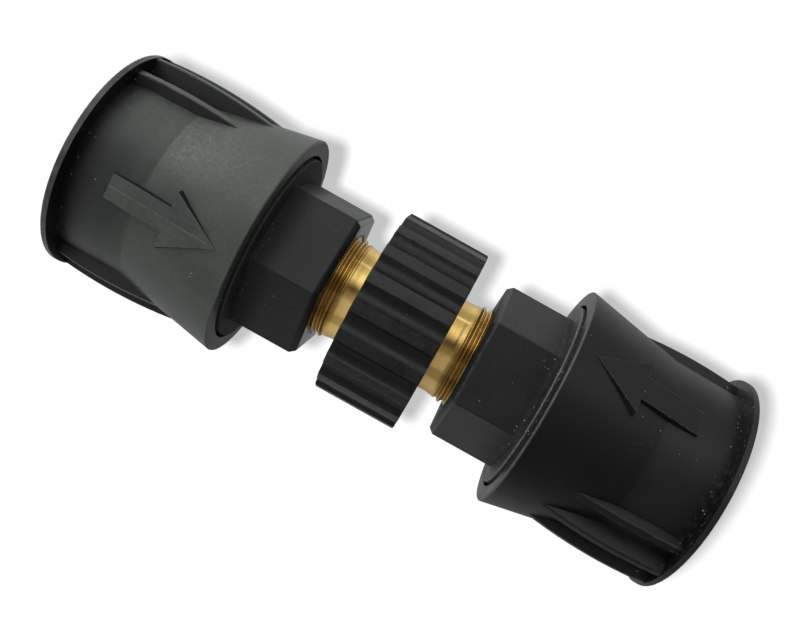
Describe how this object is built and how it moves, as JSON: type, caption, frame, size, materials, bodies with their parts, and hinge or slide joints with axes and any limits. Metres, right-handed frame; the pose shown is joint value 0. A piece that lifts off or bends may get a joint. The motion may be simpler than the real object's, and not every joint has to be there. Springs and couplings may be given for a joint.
{
  "type": "pressure washer quick connector",
  "caption": "Threaded brass nipple with a ribbed grip ring and, at both ends, a hex-bodied quick coupler whose flared collar pulls back against a spring to release a plug.",
  "frame": {"origin": "centre of the lower rim's flat face, on the axis", "axes": "+Z along the connector's axis, from the lower coupler's mouth to the upper one's; the side shown in the picture faces -Y"},
  "size_m": [0.0486, 0.0486, 0.136],
  "materials": {
    "collar_plastic": "black moulded plastic, satin, lightly scuffed and dusty",
    "body_plastic": "black glass-filled plastic, fine matte",
    "grip_plastic": "black moulded plastic, satin",
    "brass": "bright turned brass",
    "spring_steel": "drawn spring wire",
    "bright_steel": "ground stainless",
    "seal_rubber": "moulded nitrile rubber",
    "backup_plastic": "white PTFE"
  },
  "bodies": {
    "nipple": {"brass_nipple": "brass", "grip_ring": "grip_plastic"},
    "upper_nose": {"upper_nose_seal": "seal_rubber"},
    "upper_coupler": {"upper_hex_body": "body_plastic", "upper_socket_core": "brass", "upper_release_spring": "spring_steel", "upper_stop_washer": "bright_steel", "upper_retaining_ring": "spring_steel", "upper_socket_seal": "seal_rubber", "upper_backup_ring": "backup_plastic"},
    "upper_release": {"upper_collar": "collar_plastic"},
    "upper_ball_1": {"upper_ball_1": "bright_steel"},
    "upper_ball_2": {"upper_ball_2": "bright_steel"},
    "upper_ball_3": {"upper_ball_3": "bright_steel"},
    "upper_ball_4": {"upper_ball_4": "bright_steel"},
    "upper_ball_5": {"upper_ball_5": "bright_steel"},
    "upper_ball_6": {"upper_ball_6": "bright_steel"},
    "lower_nose": {"lower_nose_seal": "seal_rubber"},
    "lower_coupler": {"lower_hex_body": "body_plastic", "lower_socket_core": "brass", "lower_release_spring": "spring_steel", "lower_stop_washer": "bright_steel", "lower_retaining_ring": "spring_steel", "lower_socket_seal": "seal_rubber", "lower_backup_ring": "backup_plastic"},
    "lower_release": {"lower_collar": "collar_plastic"},
    "lower_ball_1": {"lower_ball_1": "bright_steel"},
    "lower_ball_2": {"lower_ball_2": "bright_steel"},
    "lower_ball_3": {"lower_ball_3": "bright_steel"},
    "lower_ball_4": {"lower_ball_4": "bright_steel"},
    "lower_ball_5": {"lower_ball_5": "bright_steel"},
    "lower_ball_6": {"lower_ball_6": "bright_steel"}
  },
  "joints": [
    {"name": "upper_thread_travel", "type": "slide", "parent": "nipple", "child": "upper_nose", "axis": [0, 0, 1], "range_m": [0, 0.00752]},
    {"name": "upper_thread_turn", "type": "hinge", "parent": "upper_nose", "child": "upper_coupler", "pos_m": [0, 0, 0.0888], "axis": [0, 0, 1], "range_deg": [0, 1800]},
    {"name": "upper_collar_pull", "type": "slide", "parent": "upper_coupler", "child": "upper_release", "axis": [0, 0, -1], "range_m": [0, 0.006], "stiffness_N_per_m": 2000, "springref_m": -0.005, "deforming": ["upper_release_spring"]},
    {"name": "upper_ball_1_lift", "type": "slide", "parent": "upper_coupler", "child": "upper_ball_1", "axis": [-0.2164, -0.9763, 0], "range_m": [0, 0.00121]},
    {"name": "upper_ball_2_lift", "type": "slide", "parent": "upper_coupler", "child": "upper_ball_2", "axis": [0.7373, -0.6756, 0], "range_m": [0, 0.00121]},
    {"name": "upper_ball_3_lift", "type": "slide", "parent": "upper_coupler", "child": "upper_ball_3", "axis": [0.9537, 0.3007, 0], "range_m": [0, 0.00121]},
    {"name": "upper_ball_4_lift", "type": "slide", "parent": "upper_coupler", "child": "upper_ball_4", "axis": [0.2164, 0.9763, 0], "range_m": [0, 0.00121]},
    {"name": "upper_ball_5_lift", "type": "slide", "parent": "upper_coupler", "child": "upper_ball_5", "axis": [-0.7373, 0.6756, 0], "range_m": [0, 0.00121]},
    {"name": "upper_ball_6_lift", "type": "slide", "parent": "upper_coupler", "child": "upper_ball_6", "axis": [-0.9537, -0.3007, 0], "range_m": [0, 0.00121]},
    {"name": "lower_thread_travel", "type": "slide", "parent": "nipple", "child": "lower_nose", "axis": [0, 0, -1], "range_m": [0, 0.00752]},
    {"name": "lower_thread_turn", "type": "hinge", "parent": "lower_nose", "child": "lower_coupler", "pos_m": [0, 0, 0.0472], "axis": [0, 0, -1], "range_deg": [0, 1800]},
    {"name": "lower_collar_pull", "type": "slide", "parent": "lower_coupler", "child": "lower_release", "axis": [0, 0, 1], "range_m": [0, 0.006], "stiffness_N_per_m": 2000, "springref_m": -0.005, "deforming": ["lower_release_spring"]},
    {"name": "lower_ball_1_lift", "type": "slide", "parent": "lower_coupler", "child": "lower_ball_1", "axis": [0.5, -0.866, 0], "range_m": [0, 0.00121]},
    {"name": "lower_ball_2_lift", "type": "slide", "parent": "lower_coupler", "child": "lower_ball_2", "axis": [-0.5, -0.866, 0], "range_m": [0, 0.00121]},
    {"name": "lower_ball_3_lift", "type": "slide", "parent": "lower_coupler", "child": "lower_ball_3", "axis": [-1, 0, 0], "range_m": [0, 0.00121]},
    {"name": "lower_ball_4_lift", "type": "slide", "parent": "lower_coupler", "child": "lower_ball_4", "axis": [-0.5, 0.866, 0], "range_m": [0, 0.00121]},
    {"name": "lower_ball_5_lift", "type": "slide", "parent": "lower_coupler", "child": "lower_ball_5", "axis": [0.5, 0.866, 0], "range_m": [0, 0.00121]},
    {"name": "lower_ball_6_lift", "type": "slide", "parent": "lower_coupler", "child": "lower_ball_6", "axis": [1, 0, 0], "range_m": [0, 0.00121]}
  ],
  "couplings": [
    {"joint": "upper_thread_travel", "follows": "upper_thread_turn", "m_per_rad": 0.00023873},
    {"joint": "upper_ball_1_lift", "follows": "upper_collar_pull", "ratio": 0.2},
    {"joint": "upper_ball_2_lift", "follows": "upper_collar_pull", "ratio": 0.2},
    {"joint": "upper_ball_3_lift", "follows": "upper_collar_pull", "ratio": 0.2},
    {"joint": "upper_ball_4_lift", "follows": "upper_collar_pull", "ratio": 0.2},
    {"joint": "upper_ball_5_lift", "follows": "upper_collar_pull", "ratio": 0.2},
    {"joint": "upper_ball_6_lift", "follows": "upper_collar_pull", "ratio": 0.2},
    {"joint": "lower_thread_travel", "follows": "lower_thread_turn", "m_per_rad": 0.00023873},
    {"joint": "lower_ball_1_lift", "follows": "lower_collar_pull", "ratio": 0.2},
    {"joint": "lower_ball_2_lift", "follows": "lower_collar_pull", "ratio": 0.2},
    {"joint": "lower_ball_3_lift", "follows": "lower_collar_pull", "ratio": 0.2},
    {"joint": "lower_ball_4_lift", "follows": "lower_collar_pull", "ratio": 0.2},
    {"joint": "lower_ball_5_lift", "follows": "lower_collar_pull", "ratio": 0.2},
    {"joint": "lower_ball_6_lift", "follows": "lower_collar_pull", "ratio": 0.2}
  ]
}
